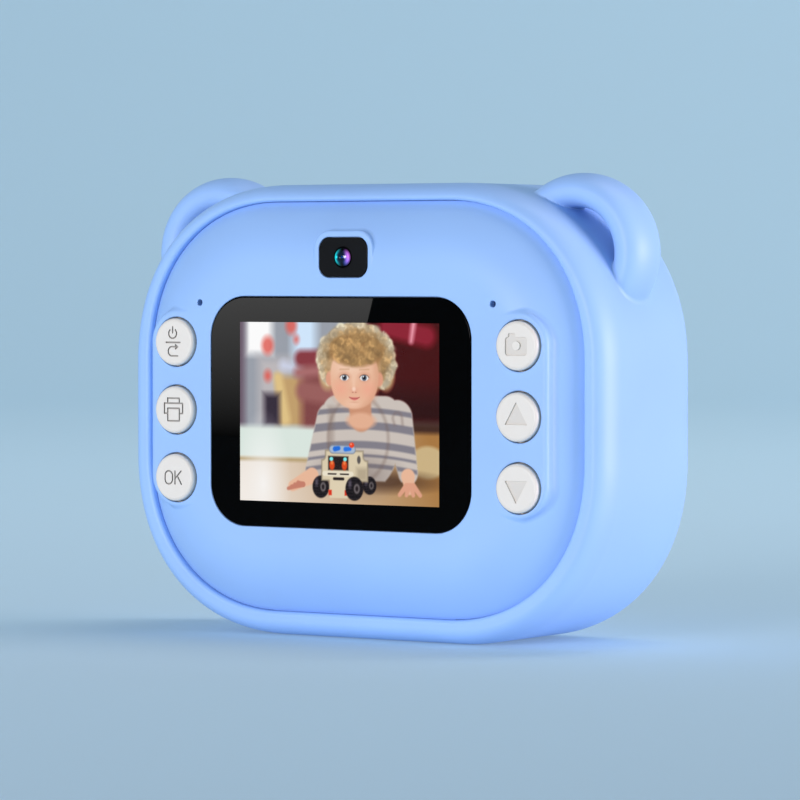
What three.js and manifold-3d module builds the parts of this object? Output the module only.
// A kids instant-print camera with bear ears. Millimetres, +Z up.
//
// Design frame: x to the right and y into the body as seen from the screen side, z up from the
// middle of the screen, y = 0 on the flat middle of the screen side. The exported group shifts
// that frame, so that its origin is the middle of the bounding box's base.
import * as THREE from "three";
import { mergeVertices } from "three/addons/utils/BufferGeometryUtils.js";
import Module from "manifold-3d";

const wasm = await Module();
wasm.setup();

// ---------------------------------------------------------------- driving dimensions
const GAP = 0.3; // left between pieces that touch
const WALL = 2; // moulded wall
const CORNER_POWER = 2 / 2.2; // corners are slightly squarer than a circle
const THROUGH = 60; // long enough to cut through anything

const BODY = { halfWidth: 58.5, halfHeight: 46.65, radius: 37.5, z: 0 };
const RIM = { halfWidth: 53.4, halfHeight: 42.3, radius: 33, z: 0.8 }; // edge of the dished panel
const DEPTH = 43; // screen side to lens side
const RIM_CREST = 5.7; // the rim stands this far behind the flat middle
const REAR_ROUND = { inset: 3.2, depth: 6.5 };
const FRONT_ROUND = { inset: 8, depth: 6 };
const PARTING = 39.2; // where the front cover meets the housing
const COVER_FACE = DEPTH - WALL; // inner face of the front cover
const COVER_CUT = { from: COVER_FACE - 1, to: DEPTH + 1 }; // what cuts through the front cover
const PORT_CUT = -50; // the ports' openings are cut from here outwards

const EAR = { x: 43.8, y: 22, z: 32.45, ring: 12.6, thick: 3.5, deep: 6.2 };
const TONGUE = 2.2; // how far the cover's locating tongue reaches into the housing
const BOSS = { x: 43, z: 27, radius: 2.8, from: 12, to: COVER_FACE - 1.4, bore: 1.3, pilot: 11 };

const FLANGE = { inset: 1.3, from: 8.2, to: 10.2 }; // pocket behind the rim for the panel's flange

const BUTTON = { x: 42, pitch: 14.1, radius: 4.9, flange: 5.6, proud: 1, travel: 0.8 };
const STEM = { from: 3.1, radius: 1.5 }; // from the button's flange back to its switch
const POD = { inner: 33, outer: 48.6, top: 21, bottom: -20.4, radius: 6.9, wall: 1.8, depth: 5 };
const GLASS = { x: -1.15, width: 63.84, height: 47.11, radius: 8.5, thick: 1.1 };
const LCD = { width: 60.3, height: 42.7, from: 2.3, to: 4.6 };
const VIEW = { x: GLASS.x, width: 51, height: 39, radius: 1 }; // opening behind the glass
const SELFIE = { z: 31.6, width: 11.9, height: 8.5, radius: 2.5, thick: 1.0, sunk: 0.1, hole: 3 };
const COLLAR = { width: 14.5, height: 10.9, radius: 3.6, z: 31.5, depth: 4 };
const PINHOLE = { x: 35.95, z: 22.3, radius: 0.65 };

const BOARD = { from: 8.6, to: 9.8, halfWidth: 49, bottom: -18.5, top: 37, chamfer: 17 };
const BOARD_PARTS_FROM = 4.6; // front of the microphone and the indicator light

const LENS = { z: 23.5, ring: 15, front: 47, hole: 9.4, window: 9.3, windowFrom: 44.8 };
const BARREL = { back: 34.2, front: 44.4, mouth: 7, throat: 4.2 };
const FLASH = { x: 28, z: 26, width: 10, height: 7, radius: 2.5 };
const SPEAKER = { x: -28.5, z: 24, radius: 9, back: 36.2, hole: 0.8, spread: 3.6 };

const ROLL = { y: 26.5, z: -24.5, radius: 14, core: 6.3, halfWidth: 28.5 };
const PLATEN = { y: 35.4, z: -1, radius: 3.5, shaft: 1.5, halfWidth: 27.3 };
const MODULE = 0.4; // gear tooth size
const TEETH = { platen: 24, idler: 24, pinion: 12 };
const GEARS = { from: 32.6, to: 34.4 };

const DOOR = { halfWidth: 38, top: 4.4, slotTop: 1.9, slotHalfWidth: 30.5, radius: 5, step: -32 };
const HINGE = { y: 40.2, z: -38, barrel: 2.8, lug: 2.6, pin: 1, bore: 1.3, halfWidth: 28 };
const LUG = { from: HINGE.halfWidth + GAP, to: 32 };

const BASE_HEIGHT = BODY.halfHeight - BODY.z;
const FRONT_MOST = LENS.front;
const MID_DEPTH = (FRONT_MOST - BUTTON.proud) / 2;

// ---------------------------------------------------------------- finishes
const BLUE = { color: 0x9ac4fb, roughness: 0.5, metalness: 0 };
const WHITE = { color: 0xececec, roughness: 0.5, metalness: 0 };
const BLACK_GLOSS = { color: 0x0a0a0c, roughness: 0.1, metalness: 0 };
const BLACK = { color: 0x1c1c1f, roughness: 0.6, metalness: 0 };
const GREY = { color: 0x8c8f94, roughness: 0.6, metalness: 0 };
const STEEL = { color: 0xb9bcc0, roughness: 0.35, metalness: 1 };
const ALUMINIUM = { color: 0xd0d3d6, roughness: 0.4, metalness: 1 };
const BRASS = { color: 0xc9a550, roughness: 0.35, metalness: 1 };
const RUBBER = { color: 0x2a2a2c, roughness: 0.85, metalness: 0 };
const PAPER = { color: 0xf4f3ee, roughness: 0.9, metalness: 0 };
const CARDBOARD = { color: 0xb79a72, roughness: 0.9, metalness: 0 };
const CIRCUIT = { color: 0x1d5a3c, roughness: 0.5, metalness: 0 };
const CELL = { color: 0x3a6ea5, roughness: 0.4, metalness: 0.2 };
const CLEAR = { color: 0xf2f6ff, roughness: 0.15, metalness: 0, transparent: true, opacity: 0.6 };
const CERAMIC = { color: 0xdedad0, roughness: 0.5, metalness: 0 };

// ---------------------------------------------------------------- solids
// A closed three.js geometry as a solid that can be joined and cut.
function solid(geometry) {
  const bare = geometry.clone();
  bare.deleteAttribute("normal");
  bare.deleteAttribute("uv");
  const merged = mergeVertices(bare, 1e-4);
  const mesh = new wasm.Mesh({
    numProp: 3,
    vertProperties: merged.attributes.position.array,
    triVerts: new Uint32Array(merged.index.array),
  });
  return new wasm.Manifold(mesh);
}

function geometryOf(shape) {
  const mesh = shape.getMesh();
  const geometry = new THREE.BufferGeometry();
  geometry.setAttribute("position", new THREE.BufferAttribute(mesh.vertProperties, 3));
  geometry.setIndex(new THREE.BufferAttribute(mesh.triVerts, 1));
  geometry.computeVertexNormals();
  return geometry;
}

function box(x0, x1, y0, y1, z0, z1) {
  const geometry = new THREE.BoxGeometry(x1 - x0, y1 - y0, z1 - z0);
  return solid(geometry.translate((x0 + x1) / 2, (y0 + y1) / 2, (z0 + z1) / 2));
}

// A round bar along y, centred on (x, z).
function barY(radius, y0, y1, x, z, sides = 24) {
  const geometry = new THREE.CylinderGeometry(radius, radius, y1 - y0, sides);
  return solid(geometry.translate(x, (y0 + y1) / 2, z));
}

// A round bar along x, centred on (y, z).
function barX(radius, x0, x1, y, z, sides = 24) {
  const geometry = new THREE.CylinderGeometry(radius, radius, x1 - x0, sides);
  return solid(geometry.rotateZ(Math.PI / 2).translate((x0 + x1) / 2, y, z));
}

// A turned shape about a line along y; the profile is a list of [radius, y].
function turnedY(profile, x, z, sides = 32) {
  const points = profile.map(([radius, y]) => new THREE.Vector2(radius, y));
  return solid(new THREE.LatheGeometry(points, sides).translate(x, 0, z));
}

// A flat shape drawn in x and z, made solid from y0 to y1.
function slabY(shape, y0, y1, curveSegments = 3) {
  const options = { depth: y1 - y0, bevelEnabled: false, curveSegments };
  return solid(new THREE.ExtrudeGeometry(shape, options).rotateX(Math.PI / 2).translate(0, y1, 0));
}

// A flat shape drawn in y and z, made solid from x0 to x1.
function slabX(shape, x0, x1, curveSegments = 3) {
  const options = { depth: x1 - x0, bevelEnabled: false, curveSegments };
  const turn = new THREE.Matrix4().makeBasis(
    new THREE.Vector3(0, 1, 0),
    new THREE.Vector3(0, 0, 1),
    new THREE.Vector3(1, 0, 0),
  );
  return solid(new THREE.ExtrudeGeometry(shape, options).applyMatrix4(turn).translate(x0, 0, 0));
}

// A flat shape drawn in x and y, made solid from z0 to z1.
function slabZ(shape, z0, z1) {
  const options = { depth: z1 - z0, bevelEnabled: false };
  return solid(new THREE.ExtrudeGeometry(shape, options).translate(0, 0, z0));
}

function polygon(points) {
  return new THREE.Shape(points.map(([u, v]) => new THREE.Vector2(u, v)));
}

// A rectangle with round corners, given by its edges.
function roundedRectangle(left, right, bottom, top, radius) {
  const shape = new THREE.Shape();
  shape.absarc(right - radius, top - radius, radius, 0, Math.PI / 2);
  shape.absarc(left + radius, top - radius, radius, Math.PI / 2, Math.PI);
  shape.absarc(left + radius, bottom + radius, radius, Math.PI, Math.PI * 1.5);
  shape.absarc(right - radius, bottom + radius, radius, Math.PI * 1.5, Math.PI * 2);
  return shape;
}

function centredRectangle({ x = 0, z = 0, width, height, radius }, grow = 0) {
  const halfWidth = width / 2 + grow;
  const halfHeight = height / 2 + grow;
  const corner = radius + grow;
  return roundedRectangle(x - halfWidth, x + halfWidth, z - halfHeight, z + halfHeight, corner);
}

// One ring of a body outline: straight sides joined by superelliptic corners, moved inwards by
// inset, in the plane at depth y.
function ringAt({ halfWidth, halfHeight, radius, z }, inset, y, steps = 6) {
  const corner = radius - inset;
  const points = [];
  for (let quadrant = 0; quadrant < 4; quadrant++) {
    const signX = quadrant === 0 || quadrant === 3 ? 1 : -1;
    const signZ = quadrant < 2 ? 1 : -1;
    for (let i = 0; i <= steps; i++) {
      const turn = ((quadrant + i / steps) * Math.PI) / 2;
      const across = Math.abs(Math.cos(turn)) ** CORNER_POWER;
      const up = Math.abs(Math.sin(turn)) ** CORNER_POWER;
      points.push([
        signX * (halfWidth - radius + corner * across),
        y,
        z + signZ * (halfHeight - radius + corner * up),
      ]);
    }
  }
  return points;
}

// A solid through a list of rings, closed by a fan at each end.
function loft(rings) {
  const count = rings[0].length;
  const positions = rings.flat();
  const index = [];
  for (let r = 0; r + 1 < rings.length; r++)
    for (let i = 0; i < count; i++) {
      const a = r * count + i;
      const b = r * count + ((i + 1) % count);
      index.push(a, b + count, b, a, a + count, b + count);
    }
  const last = (rings.length - 1) * count;
  for (let i = 1; i + 1 < count; i++) {
    index.push(0, i, i + 1);
    index.push(last, last + i + 1, last + i);
  }
  return solid(indexed(positions, index));
}

function indexed(positions, index) {
  const geometry = new THREE.BufferGeometry();
  geometry.setAttribute("position", new THREE.Float32BufferAttribute(positions.flat(), 3));
  geometry.setIndex(index);
  return geometry;
}

// How far a quarter-ellipse edge has come in from the side at the given depth into the rounding.
function roundingInset({ inset, depth }, fromFlat) {
  return inset * (1 - Math.sqrt(1 - (fromFlat / depth) ** 2));
}

// ---------------------------------------------------------------- the exported group
const camera = new THREE.Group();
camera.position.set(0, -MID_DEPTH, BASE_HEIGHT);

function add(name, shape, finish) {
  const mesh = new THREE.Mesh(geometryOf(shape), new THREE.MeshStandardMaterial(finish));
  mesh.name = name;
  camera.add(mesh);
}

const SIDES = [-1, 1];

// ---------------------------------------------------------------- outer shell
const LENS_ROUND_START = DEPTH - FRONT_ROUND.depth;
const REAR_ROUND_END = RIM_CREST + REAR_ROUND.depth;

function rearRing(y) {
  return ringAt(BODY, roundingInset(REAR_ROUND, REAR_ROUND_END - y), y);
}

function frontRing(y) {
  return ringAt(BODY, roundingInset(FRONT_ROUND, y - LENS_ROUND_START), y);
}

// The ear: a thick ring of pillow section, half sunk into the body's corner.
function earRing(side) {
  const around = 28;
  const section = 10;
  const positions = [];
  for (let i = 0; i < around; i++) {
    const turn = (i / around) * 2 * Math.PI;
    for (let j = 0; j < section; j++) {
      const a = (j / section) * 2 * Math.PI;
      const radius = EAR.ring + EAR.thick * Math.cos(a);
      positions.push([
        side * EAR.x + radius * Math.cos(turn),
        EAR.y + EAR.deep * Math.sin(a),
        EAR.z + radius * Math.sin(turn),
      ]);
    }
  }
  const index = [];
  for (let i = 0; i < around; i++)
    for (let j = 0; j < section; j++) {
      const a = i * section + j;
      const b = i * section + ((j + 1) % section);
      const c = ((i + 1) % around) * section + j;
      const d = ((i + 1) % around) * section + ((j + 1) % section);
      index.push(a, b, d, a, d, c);
    }
  return solid(indexed(positions, index));
}

// A post for a case screw, with a rib that ties it to the corner of the wall.
function boss(sideX, sideZ) {
  const x = sideX * BOSS.x;
  const z = sideZ * BOSS.z;
  const cornerX = sideX * (BODY.halfWidth - BODY.radius);
  const cornerZ = sideZ * (BODY.halfHeight - BODY.radius);
  const angle = Math.atan2(z - cornerZ, x - cornerX);
  const reach = BODY.radius - WALL / 2 - Math.hypot(x - cornerX, z - cornerZ);
  const ribEnd = PARTING - TONGUE - GAP;
  const rib = new THREE.BoxGeometry(reach, ribEnd - BOSS.from, WALL);
  rib.translate(reach / 2, (BOSS.from + ribEnd) / 2, 0);
  rib.rotateY(-angle).translate(x, 0, z);
  return barY(BOSS.radius, BOSS.from, BOSS.to, x, z, 16).add(solid(rib));
}

const USB = { z: -6, y: 11.7, width: 9, height: 3.2, end: -57.4, length: 7.8 };
const CARD = { z: 7.9, y: 11.15, width: 11, thick: 0.7, end: -57.3, length: 15 };

function portCuts() {
  const usb = roundedRectangle(
    USB.y - USB.height / 2 - GAP,
    USB.y + USB.height / 2 + GAP,
    USB.z - USB.width / 2 - GAP,
    USB.z + USB.width / 2 + GAP,
    USB.height / 2,
  );
  const slot = { y: CARD.thick / 2 + 2 * GAP, z: CARD.width / 2 + 2 * GAP };
  const y = [CARD.y - slot.y, CARD.y + slot.y];
  const z = [CARD.z - slot.z, CARD.z + slot.z];
  return slabX(usb, -THROUGH, PORT_CUT).add(box(-THROUGH, PORT_CUT, ...y, ...z));
}

function housing() {
  const outerDepths = [RIM_CREST, 6.1, 7.2, 9.3, REAR_ROUND_END];
  const outer = outerDepths.map(rearRing).concat([frontRing(LENS_ROUND_START), frontRing(PARTING)]);
  const cavity = [
    ringAt(RIM, 0, -1),
    ringAt(RIM, 0, FLANGE.from),
    ringAt(RIM, -FLANGE.inset, FLANGE.from),
    ringAt(RIM, -FLANGE.inset, FLANGE.to),
    ringAt(BODY, WALL + 0.4, FLANGE.to),
    ringAt(BODY, WALL, FLANGE.to + 3),
    ringAt(BODY, WALL, DEPTH + 1),
  ];
  let shell = loft(outer);
  for (const side of SIDES) shell = shell.add(earRing(side));
  shell = shell.subtract(loft(cavity));
  for (const sideX of SIDES)
    for (const sideZ of SIDES) {
      shell = shell.add(boss(sideX, sideZ));
      const from = BOSS.to - BOSS.pilot;
      const pilot = barY(BOSS.bore, from, BOSS.to + 1, sideX * BOSS.x, sideZ * BOSS.z, 12);
      shell = shell.subtract(pilot);
    }
  return shell.subtract(portCuts());
}
add("housing", housing(), BLUE);

// ---------------------------------------------------------------- rear panel
// The dished face: flat in the middle, falling away towards the rim. Each row is an inset from
// the panel's edge and a depth, first over the outer surface, then back over the inner one.
const PANEL_FLANGE = {
  reach: -FLANGE.inset + GAP,
  from: FLANGE.from + GAP,
  to: BOARD.to - 0.1,
};
const PANEL_SECTION = [
  [13, 0],
  [8, 1.1],
  [4, 3.5],
  [GAP, 7.1],
  [GAP, PANEL_FLANGE.from],
  [PANEL_FLANGE.reach, PANEL_FLANGE.from],
  [PANEL_FLANGE.reach, PANEL_FLANGE.to],
  [2.2, PANEL_FLANGE.to],
  [2.6, 7.2],
  [5, 5.1],
  [9, 2.8],
  [13.5, WALL],
];

function podShape(side, inset) {
  const left = side > 0 ? POD.inner + inset : -POD.outer + inset;
  const right = side > 0 ? POD.outer - inset : -POD.inner - inset;
  return roundedRectangle(left, right, POD.bottom + inset, POD.top - inset, POD.radius - inset);
}

function rearPanel() {
  let panel = loft(PANEL_SECTION.map(([inset, y]) => ringAt(RIM, inset, y)));
  for (const side of SIDES) {
    panel = panel.add(slabY(podShape(side, 0), 0, POD.depth));
    panel = panel.subtract(slabY(podShape(side, POD.wall), WALL, POD.depth + WALL));
  }
  panel = panel.add(slabY(centredRectangle(COLLAR), 0, COLLAR.depth));
  panel = panel.subtract(slabY(centredRectangle(SELFIE, GAP), -1, SELFIE.thick + 2 * GAP));
  panel = panel.subtract(barY(SELFIE.hole, -1, THROUGH, 0, SELFIE.z, 16));
  panel = panel.subtract(slabY(centredRectangle(GLASS, GAP), -1, GLASS.thick + GAP));
  panel = panel.subtract(slabY(centredRectangle(VIEW), -1, THROUGH, 2));
  for (const side of SIDES) {
    panel = panel.subtract(barY(PINHOLE.radius, -1, THROUGH, side * PINHOLE.x, PINHOLE.z, 10));
    for (const row of [-1, 0, 1]) {
      const x = side * BUTTON.x;
      const z = row * BUTTON.pitch;
      panel = panel.subtract(barY(BUTTON.radius + GAP, -1, POD.depth, x, z, 20));
      panel = panel.subtract(barY(BUTTON.flange + GAP, WALL, POD.depth, x, z, 16));
    }
  }
  return panel;
}
add("rear_panel", rearPanel(), BLUE);

// ---------------------------------------------------------------- screen and selfie camera
add("screen_glass", slabY(centredRectangle(GLASS), 0, GLASS.thick), BLACK_GLOSS);
const lcdShape = { x: GLASS.x, width: LCD.width, height: LCD.height, radius: 1 };
add("lcd_panel", slabY(centredRectangle(lcdShape), LCD.from, LCD.to, 2), BLACK);
const selfieGlass = slabY(centredRectangle(SELFIE), SELFIE.sunk, SELFIE.sunk + SELFIE.thick);
add("selfie_window", selfieGlass, BLACK_GLOSS);

function selfieCamera() {
  const barrel = { radius: 2.6, from: 1.9, to: 5.2 };
  const housingBox = { half: 4, from: 4.6, to: BOARD.from - GAP };
  return barY(barrel.radius, barrel.from, barrel.to, 0, SELFIE.z, 16).add(
    box(
      -housingBox.half,
      housingBox.half,
      housingBox.from,
      housingBox.to,
      SELFIE.z - housingBox.half,
      SELFIE.z + housingBox.half,
    ),
  );
}
add("selfie_camera", selfieCamera(), BLACK);

// ---------------------------------------------------------------- buttons and their switches
const BUTTON_NAMES = {
  "-1": ["ok_button", "print_button", "power_button"],
  1: ["down_button", "up_button", "shutter_button"],
};
const SWITCH = { half: 3, from: 5.5, plunger: 1.6, plungerFrom: 4.9 };

// A cap that shows through the panel, a flange that keeps it in, and a stem for the switch.
function button(x, z) {
  const edge = 0.5;
  const stemEnd = SWITCH.plungerFrom - BUTTON.travel - 0.1;
  const profile = [
    [0, -BUTTON.proud],
    [BUTTON.radius - edge, -BUTTON.proud],
    [BUTTON.radius, -BUTTON.proud + edge],
    [BUTTON.radius, WALL + GAP],
    [BUTTON.flange, WALL + GAP],
    [BUTTON.flange, STEM.from],
    [STEM.radius, STEM.from],
    [STEM.radius, stemEnd],
    [0, stemEnd],
  ];
  return turnedY(profile, x, z, 16);
}

function tactSwitch(x, z) {
  const base = box(
    x - SWITCH.half,
    x + SWITCH.half,
    SWITCH.from,
    BOARD.from - GAP,
    z - SWITCH.half,
    z + SWITCH.half,
  );
  return base.add(barY(SWITCH.plunger, SWITCH.plungerFrom, SWITCH.from + 0.1, x, z, 12));
}

for (const side of SIDES)
  BUTTON_NAMES[side].forEach((name, row) => {
    const x = side * BUTTON.x;
    const z = (row - 1) * BUTTON.pitch;
    add(name, button(x, z), WHITE);
    add(name.replace("button", "switch"), tactSwitch(x, z), BLACK);
  });

// ---------------------------------------------------------------- main board and what is on it
function mainBoard() {
  const { halfWidth, bottom, top, chamfer } = BOARD;
  const outline = polygon([
    [-halfWidth, bottom],
    [halfWidth, bottom],
    [halfWidth, top - chamfer],
    [halfWidth - chamfer, top],
    [-halfWidth + chamfer, top],
    [-halfWidth, top - chamfer],
  ]);
  return slabY(outline, BOARD.from, BOARD.to);
}
add("main_board", mainBoard(), CIRCUIT);
function boardPart(side, radius, sides) {
  return barY(radius, BOARD_PARTS_FROM, BOARD.from - GAP, side * PINHOLE.x, PINHOLE.z, sides);
}
add("microphone", boardPart(-1, 2, 16), STEEL);
add("indicator_led", boardPart(1, 1.5, 12), CLEAR);

function usbPort() {
  const halfHeight = USB.height / 2;
  const halfWidth = USB.width / 2;
  const wall = 0.4;
  const outer = roundedRectangle(
    USB.y - halfHeight,
    USB.y + halfHeight,
    USB.z - halfWidth,
    USB.z + halfWidth,
    halfHeight - 0.1,
  );
  const inner = roundedRectangle(
    USB.y - halfHeight + wall,
    USB.y + halfHeight - wall,
    USB.z - halfWidth + wall,
    USB.z + halfWidth - wall,
    halfHeight - wall - 0.1,
  );
  const end = USB.end + USB.length;
  const shell = slabX(outer, USB.end, end).subtract(slabX(inner, USB.end - 1, end - 1));
  const tongue = { thick: 0.35, half: 3.3 };
  return shell.add(
    box(
      USB.end + 0.8,
      end - 0.5,
      USB.y - tongue.thick,
      USB.y + tongue.thick,
      USB.z - tongue.half,
      USB.z + tongue.half,
    ),
  );
}
add("usb_port", usbPort(), STEEL);

function cardBox(grow, from, to) {
  const halfThick = CARD.thick / 2 + grow;
  const halfWidth = CARD.width / 2 + grow;
  return box(from, to, CARD.y - halfThick, CARD.y + halfThick, CARD.z - halfWidth, CARD.z + halfWidth);
}

// The socket stands off the board by the gap; it is open towards the side of the camera.
const SOCKET = { from: -54.4, wall: 0.4 };
function cardSocket() {
  const end = CARD.end + CARD.length + 1;
  const pocket = cardBox(GAP, SOCKET.from - 1, CARD.end + CARD.length + GAP);
  return cardBox(GAP + SOCKET.wall, SOCKET.from, end).subtract(pocket);
}
add("card_socket", cardSocket(), STEEL);
add("memory_card", cardBox(0, CARD.end, CARD.end + CARD.length), BLACK);

const BATTERY = { x: [-47, -36], y: [12.5, 36.5], z: [-20, 14] };
add("battery", box(...BATTERY.x, ...BATTERY.y, ...BATTERY.z), CELL);

// ---------------------------------------------------------------- lens side
// The door opening is wide above and narrower at its foot, between the hinge lugs.
const OPENING = {
  halfWidth: DOOR.halfWidth + GAP,
  top: 5,
  bottom: HINGE.z - HINGE.barrel - 0.4,
  step: DOOR.step - 0.9, // the corners of the door dip this far as it starts to swing
  lowHalfWidth: LUG.from,
};

// The outline of the door or of its opening: round top corners and a narrower foot.
function doorOutline(halfWidth, top, radius, step, lowHalfWidth, bottom) {
  const shape = new THREE.Shape();
  shape.absarc(halfWidth - radius, top - radius, radius, 0, Math.PI / 2);
  shape.absarc(-halfWidth + radius, top - radius, radius, Math.PI / 2, Math.PI);
  shape.lineTo(-halfWidth, step);
  shape.lineTo(-lowHalfWidth, step);
  shape.lineTo(-lowHalfWidth, bottom);
  shape.lineTo(lowHalfWidth, bottom);
  shape.lineTo(lowHalfWidth, step);
  shape.lineTo(halfWidth, step);
  return shape;
}

const SCREW = { head: 2.2, headTop: 42.6, headDepth: 1.2, shank: 1, length: 9 };

function lug(side) {
  const x0 = side > 0 ? LUG.from : -LUG.to;
  const x1 = side > 0 ? LUG.to : -LUG.from;
  return barX(HINGE.lug, x0, x1, HINGE.y, HINGE.z, 20).add(
    box(x0, x1, HINGE.y - 1.6, HINGE.y + 2, OPENING.bottom - 1.2, HINGE.z),
  );
}

function frontCover() {
  const outerDepths = [PARTING + GAP, 41, 42.4, DEPTH];
  const tongue = { from: PARTING - TONGUE, outer: WALL + GAP, inner: WALL + 1.6 };
  const pocket = [
    ringAt(BODY, 2.6, PARTING - 1),
    ringAt(BODY, 3.8, PARTING + 1),
    ringAt(BODY, 7, COVER_FACE),
  ];
  const tongueRing = loft([
    ringAt(BODY, tongue.outer, tongue.from),
    ringAt(BODY, tongue.outer, PARTING + 0.6),
  ]);
  const tongueHole = loft([
    ringAt(BODY, tongue.inner, tongue.from - 1),
    ringAt(BODY, tongue.inner, PARTING + 1),
  ]);
  let cover = loft(outerDepths.map(frontRing)).subtract(loft(pocket));
  cover = cover.add(tongueRing.subtract(tongueHole));
  const { halfWidth, top, step, lowHalfWidth, bottom } = OPENING;
  const opening = doorOutline(halfWidth, top, DOOR.radius + GAP, step, lowHalfWidth, bottom);
  cover = cover.subtract(slabY(opening, PARTING - TONGUE - 1, COVER_CUT.to));
  for (const side of SIDES) cover = cover.add(lug(side));
  cover = cover.subtract(barX(HINGE.bore, -LUG.to - 1, LUG.to + 1, HINGE.y, HINGE.z, 16));
  cover = cover.subtract(barY(LENS.hole, COVER_CUT.from, COVER_CUT.to, 0, LENS.z, 28));
  cover = cover.subtract(slabY(centredRectangle(FLASH, GAP), COVER_CUT.from, COVER_CUT.to));
  for (const [x, z] of speakerHoles())
    cover = cover.subtract(barY(SPEAKER.hole, COVER_CUT.from, COVER_CUT.to, x, z, 6));
  for (const [x, z] of screwPlaces()) cover = withScrewSeat(cover, x, z);
  return cover;
}

// A pad over the boss, sunk for the screw's head and bored for its shank.
function withScrewSeat(cover, x, z) {
  const recess = SCREW.headTop - SCREW.headDepth - GAP;
  return cover
    .add(barY(SCREW.head + 1.4, BOSS.to + GAP, COVER_FACE + 0.5, x, z, 12))
    .subtract(barY(SCREW.head + GAP, recess, COVER_CUT.to, x, z, 14))
    .subtract(barY(BOSS.bore, BOSS.to, COVER_CUT.to, x, z, 10));
}

// One hole in the middle and six around it.
function speakerHoles() {
  const { x, z, spread } = SPEAKER;
  const places = [[x, z]];
  for (let i = 0; i < 6; i++) {
    const turn = (i * Math.PI) / 3;
    places.push([x + spread * Math.cos(turn), z + spread * Math.sin(turn)]);
  }
  return places;
}

function screwPlaces() {
  return SIDES.flatMap((sideX) => SIDES.map((sideZ) => [sideX * BOSS.x, sideZ * BOSS.z]));
}

function screw(x, z) {
  const under = SCREW.headTop - SCREW.headDepth;
  const profile = [
    [0, under - SCREW.length],
    [SCREW.shank, under - SCREW.length],
    [SCREW.shank, under],
    [SCREW.head, under],
    [SCREW.head, SCREW.headTop],
    [0, SCREW.headTop],
  ];
  return turnedY(profile, x, z, 10);
}

add("front_cover", frontCover(), BLUE);
screwPlaces().forEach(([x, z], i) => add("case_screw_" + (i + 1), screw(x, z), STEEL));
const speaker = barY(SPEAKER.radius, SPEAKER.back, COVER_FACE - GAP, SPEAKER.x, SPEAKER.z, 24);
add("speaker", speaker, BLACK);
const flashFace = { from: COVER_FACE + GAP, to: DEPTH + 0.2 };
add("flash_window", slabY(centredRectangle(FLASH), flashFace.from, flashFace.to), CLEAR);

function flashLed() {
  const half = 2.2;
  const plate = { half: 4, from: 38.4, to: 39.6 };
  return box(FLASH.x - half, FLASH.x + half, 39.5, COVER_FACE, FLASH.z - half, FLASH.z + half).add(
    box(
      FLASH.x - plate.half,
      FLASH.x + plate.half,
      plate.from,
      plate.to,
      FLASH.z - plate.half,
      FLASH.z + plate.half,
    ),
  );
}
add("flash_led", flashLed(), WHITE);

function lensRing() {
  const face = DEPTH + GAP;
  const profile = [
    [LENS.window + GAP, face],
    [LENS.ring, face],
    [LENS.ring, LENS.front - 1.2],
    [LENS.ring - 1.2, LENS.front],
    [LENS.window + 1.4, LENS.front],
    [LENS.window + GAP, LENS.front - 1.4],
    [LENS.window + GAP, face],
  ];
  return turnedY(profile, 0, LENS.z, 32);
}
add("lens_ring", lensRing(), WHITE);
const lensWindow = barY(LENS.window, LENS.windowFrom, LENS.windowFrom + 1, 0, LENS.z, 32);
add("lens_window", lensWindow, BLACK_GLOSS);

function lensBarrel() {
  const { back, front, mouth, throat } = BARREL;
  const profile = [
    [0, back],
    [LENS.hole - GAP, back],
    [LENS.hole - GAP, front],
    [mouth, front],
    [throat, COVER_FACE],
    [0, COVER_FACE],
  ];
  return turnedY(profile, 0, LENS.z, 24);
}
add("lens_barrel", lensBarrel(), BLACK);
const lensElement = [
  [0, COVER_FACE + GAP],
  [3.6, COVER_FACE + GAP],
  [3.6, COVER_FACE + 0.8],
  [2.6, COVER_FACE + 1.6],
  [1.4, COVER_FACE + 2],
  [0, COVER_FACE + 2.1],
];
add("lens_element", turnedY(lensElement, 0, LENS.z, 16), CLEAR);
const SENSOR = { half: 9, from: 32.6, to: 33.9 };
add(
  "sensor_board",
  box(-SENSOR.half, SENSOR.half, SENSOR.from, SENSOR.to, LENS.z - SENSOR.half, LENS.z + SENSOR.half),
  CIRCUIT,
);

// ---------------------------------------------------------------- paper door
const ARM = { from: 28.3, to: 30.3, y: 32.9, bottom: -4.5, top: 2.0 };
const PAD = { halfWidth: 8, bottom: -8.8, top: -4.8, travel: 2 };

function doorPanel() {
  const { halfWidth, top, radius, slotTop, slotHalfWidth } = DOOR;
  const outline = doorOutline(halfWidth, top, radius, DOOR.step, HINGE.halfWidth, HINGE.z);
  const panel = slabY(outline, COVER_FACE, DEPTH);
  const cut = [COVER_CUT.from, COVER_CUT.to];
  const notch = box(-slotHalfWidth, slotHalfWidth, ...cut, slotTop, top + 1);
  const padSlot = { side: PAD.halfWidth + GAP, from: PAD.bottom - PAD.travel - GAP };
  const slot = box(-padSlot.side, padSlot.side, ...cut, padSlot.from, PAD.top + GAP);
  return panel.subtract(notch).subtract(slot);
}

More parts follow.
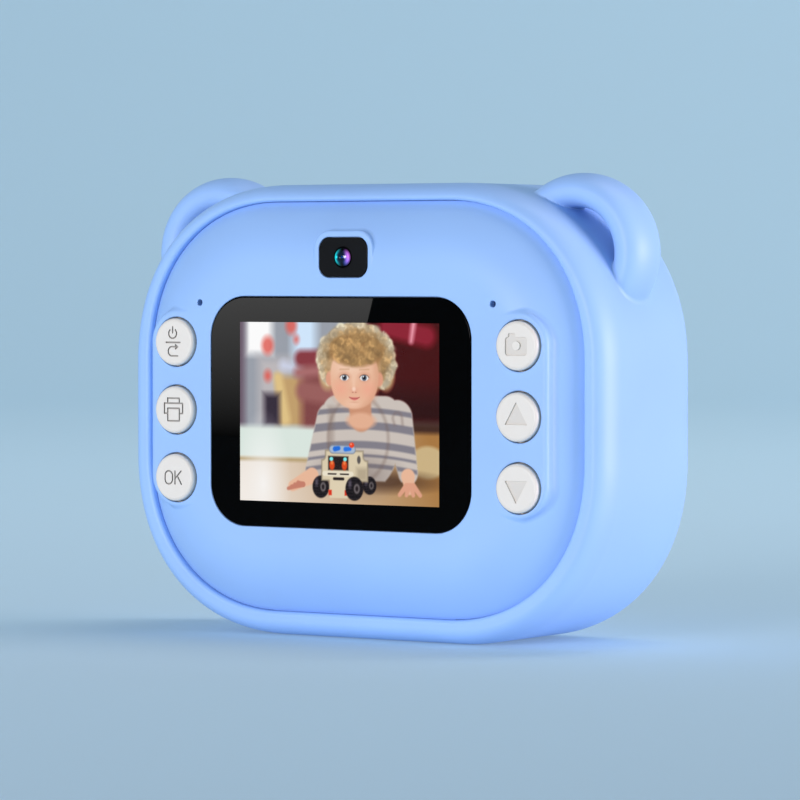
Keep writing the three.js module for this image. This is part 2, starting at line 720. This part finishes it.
function paperDoor() {
  let door = doorPanel();
  const barrel = barX(HINGE.barrel, -HINGE.halfWidth, HINGE.halfWidth, HINGE.y, HINGE.z, 24);
  door = door.add(barrel);
  for (const side of SIDES) {
    const x0 = side > 0 ? ARM.from : -ARM.to;
    const x1 = side > 0 ? ARM.to : -ARM.from;
    const cheek = roundedRectangle(ARM.y, COVER_FACE + 0.5, ARM.bottom, ARM.top, 1.5);
    door = door.add(slabX(cheek, x0, x1));
  }
  door = door.subtract(barX(HINGE.bore, -THROUGH, THROUGH, HINGE.y, HINGE.z, 16));
  return door.subtract(barX(PLATEN.shaft + GAP, -THROUGH, THROUGH, PLATEN.y, PLATEN.z, 16));
}
add("paper_door", paperDoor(), BLUE);
add("door_hinge_pin", barX(HINGE.pin, -LUG.to + 0.2, LUG.to - 0.2, HINGE.y, HINGE.z, 16), STEEL);

// The latch: a thumb pad in the door's face on a bar behind it.
function doorLatch() {
  const bar = { halfWidth: 32, from: 39.25, to: COVER_FACE - GAP };
  const ridge = { halfWidth: 5.5, halfHeight: 0.4, proud: 0.5, pitch: 1.2 };
  let latch = box(-bar.halfWidth, bar.halfWidth, bar.from, bar.to, PAD.bottom, PAD.top - 0.3);
  latch = latch.add(
    box(-PAD.halfWidth, PAD.halfWidth, bar.to - 0.2, DEPTH, PAD.bottom, PAD.top),
  );
  for (const row of [-1, 0, 1]) {
    const z = (PAD.bottom + PAD.top) / 2 + row * ridge.pitch;
    latch = latch.add(
      box(
        -ridge.halfWidth,
        ridge.halfWidth,
        DEPTH - 0.2,
        DEPTH + ridge.proud,
        z - ridge.halfHeight,
        z + ridge.halfHeight,
      ),
    );
  }
  return latch;
}
add("door_latch", doorLatch(), WHITE);

// The cutter above the paper slot: a strip with a saw edge.
function tearBar() {
  const teeth = 24;
  const halfWidth = 28.8;
  const root = 42.2;
  const tip = DEPTH;
  const pitch = (2 * halfWidth) / teeth;
  const points = [
    [-halfWidth, COVER_FACE + GAP],
    [halfWidth, COVER_FACE + GAP],
    [halfWidth, root],
  ];
  for (let i = 0; i < teeth; i++) {
    points.push([halfWidth - (i + 0.5) * pitch, tip]);
    points.push([halfWidth - (i + 1) * pitch, root]);
  }
  return slabZ(polygon(points), DOOR.slotTop + 1.8, OPENING.top - GAP);
}
add("tear_bar", tearBar(), STEEL);

// ---------------------------------------------------------------- printer
const GEAR_DISTANCE = (MODULE * (TEETH.platen + TEETH.idler)) / 2;
const PINION_DISTANCE = (MODULE * (TEETH.idler + TEETH.pinion)) / 2;
const IDLER_Y = PLATEN.y - GEAR_DISTANCE;
const MOTOR = { y: IDLER_Y - PINION_DISTANCE, radius: 7.2, from: 21.5, to: 30.9, shaft: 0.75 };
const FRAME = { inner: 31.2, outer: 32.2, from: 11.5, to: 30.4, bottom: -8, top: 8 };
const BRIDGE = { from: 13, to: 26, thick: 1 }; // joins the frame's two plates
const BORE = 1.1;
const TOOTH = { rootHalf: 0.29, tipHalf: 0.12, dedendum: 1.25, addendum: 0.9 }; // in pitches and modules

// A spur gear across x. startsWithTooth says whether a tooth or a gap points along +y.
function gear(teeth, y, z, bore, startsWithTooth) {
  const pitchRadius = (MODULE * teeth) / 2;
  const root = pitchRadius - TOOTH.dedendum * MODULE;
  const tip = pitchRadius + TOOTH.addendum * MODULE;
  const corners = [
    [root, -TOOTH.rootHalf],
    [tip, -TOOTH.tipHalf],
    [tip, TOOTH.tipHalf],
    [root, TOOTH.rootHalf],
  ];
  const points = [];
  for (let i = 0; i < teeth; i++)
    for (const [radius, along] of corners) {
      const turn = ((i + along + (startsWithTooth ? 0 : 0.5)) / teeth) * 2 * Math.PI;
      points.push([y + radius * Math.cos(turn), z + radius * Math.sin(turn)]);
    }
  const blank = slabX(polygon(points), GEARS.from, GEARS.to);
  return blank.subtract(barX(bore, GEARS.from - 1, GEARS.to + 1, y, z, 16));
}

function printerFrame() {
  const plates = SIDES.map((side) => {
    const x0 = side > 0 ? FRAME.inner : -FRAME.outer;
    const x1 = side > 0 ? FRAME.outer : -FRAME.inner;
    return box(x0, x1, FRAME.from, FRAME.to, FRAME.bottom, FRAME.top);
  });
  const { from, to, thick } = BRIDGE;
  const bridge = box(-FRAME.outer, FRAME.outer, from, to, FRAME.top - thick, FRAME.top);
  const post = barX(BORE - 0.2, FRAME.outer - 0.1, GEARS.to + 0.4, IDLER_Y, PLATEN.z, 16);
  const frame = plates[0].add(plates[1]).add(bridge).add(post);
  const shaftHole = 1.4;
  const hole = barX(shaftHole, FRAME.inner - 1, FRAME.outer + 0.1, MOTOR.y, PLATEN.z, 16);
  return frame.subtract(hole);
}
add("printer_frame", printerFrame(), STEEL);
add("idler_gear", gear(TEETH.idler, IDLER_Y, PLATEN.z, BORE, false), WHITE);
const pinionBore = MOTOR.shaft + GAP;
add("motor_pinion", gear(TEETH.pinion, MOTOR.y, PLATEN.z, pinionBore, true), BRASS);
add("motor_shaft", barX(MOTOR.shaft, MOTOR.to + GAP, GEARS.to + 0.4, MOTOR.y, PLATEN.z, 12), STEEL);
add("stepper_motor", barX(MOTOR.radius, MOTOR.from, MOTOR.to, MOTOR.y, PLATEN.z, 28), ALUMINIUM);

const platenBore = PLATEN.shaft + GAP;
const rollerProfile = [
  [platenBore, -PLATEN.halfWidth],
  [PLATEN.radius, -PLATEN.halfWidth],
  [PLATEN.radius, PLATEN.halfWidth],
  [platenBore, PLATEN.halfWidth],
  [platenBore, -PLATEN.halfWidth],
];

// A ring turned about a line along x through (y, z).
function turnedX(profile, y, z, sides) {
  const points = profile.map(([radius, along]) => new THREE.Vector2(radius, along));
  const lathe = new THREE.LatheGeometry(points, sides);
  return solid(lathe.rotateZ(-Math.PI / 2).translate(0, y, z));
}
add("platen_roller", turnedX(rollerProfile, PLATEN.y, PLATEN.z, 20), RUBBER);
const platenEnd = GEARS.to + 0.3;
add("platen_shaft", barX(PLATEN.shaft, -ARM.to - 0.4, platenEnd, PLATEN.y, PLATEN.z, 16), STEEL);
add("platen_gear", gear(TEETH.platen, PLATEN.y, PLATEN.z, platenBore, true), WHITE);

// The print head: a ceramic strip pressed against the platen, on an aluminium heat sink.
const HEAD = { halfWidth: 27.5, face: PLATEN.y - PLATEN.radius - GAP, ceramic: 0.8, sink: 1.6 };
const HEAD_SPAN = [-3.6, 3];
const SINK = { halfWidth: 28, span: [-3, 6.4] };
const ceramicBack = HEAD.face - HEAD.ceramic;
const sinkFace = ceramicBack - GAP;
const headStrip = box(-HEAD.halfWidth, HEAD.halfWidth, ceramicBack, HEAD.face, ...HEAD_SPAN);
add("print_head", headStrip, CERAMIC);
const sink = box(-SINK.halfWidth, SINK.halfWidth, sinkFace - HEAD.sink, sinkFace, ...SINK.span);
add("head_sink", sink, ALUMINIUM);

// A leaf spring that pushes the head forwards: two feet and a bowed middle.
const SPRING = { foot: 14, knee: 8, crown: 4, bow: 1.1, thick: 0.5, height: 4 };
function leafSpring() {
  const { foot, knee, crown, bow, thick, height } = SPRING;
  const front = sinkFace - HEAD.sink - GAP;
  const bend = [
    [-foot, bow],
    [-knee, bow],
    [-crown, 0],
    [crown, 0],
    [knee, bow],
    [foot, bow],
  ];
  const back = bend.map(([x, sunk]) => [x, front - thick - sunk]);
  const face = bend.map(([x, sunk]) => [x, front - sunk]).reverse();
  return slabZ(polygon(back.concat(face)), 0, height);
}
add("head_spring", leafSpring(), STEEL);

// ---------------------------------------------------------------- paper
function ringProfile(inner, outer, halfWidth) {
  return [
    [inner, -halfWidth],
    [outer, -halfWidth],
    [outer, halfWidth],
    [inner, halfWidth],
    [inner, -halfWidth],
  ];
}
const core = ringProfile(ROLL.core - 1.3, ROLL.core - GAP, ROLL.halfWidth);
const web = ringProfile(ROLL.core, ROLL.radius, ROLL.halfWidth);
add("paper_roll", turnedX(web, ROLL.y, ROLL.z, 32), PAPER);
add("paper_core", turnedX(core, ROLL.y, ROLL.z, 20), CARDBOARD);

// The cradle that the roll lies in: a trough round its back and underside, with closed ends.
function paperCradle() {
  const inner = ROLL.radius + 0.7;
  const outer = inner + 1.2;
  const end = { inner: 29.2, outer: 30.3 };
  const start = Math.PI * 0.72;
  const finish = Math.PI * 1.72;
  const trough = new THREE.Shape();
  trough.absarc(ROLL.y, ROLL.z, outer, start, finish, false);
  trough.absarc(ROLL.y, ROLL.z, inner, finish, start, true);
  const cheek = new THREE.Shape();
  cheek.absarc(ROLL.y, ROLL.z, outer, start, finish, false);
  let cradle = slabX(trough, -end.outer, end.outer, 9);
  cradle = cradle.add(slabX(cheek, -end.outer, -end.inner, 9));
  return cradle.add(slabX(cheek, end.inner, end.outer, 9));
}
add("paper_cradle", paperCradle(), GREY);

export default camera;
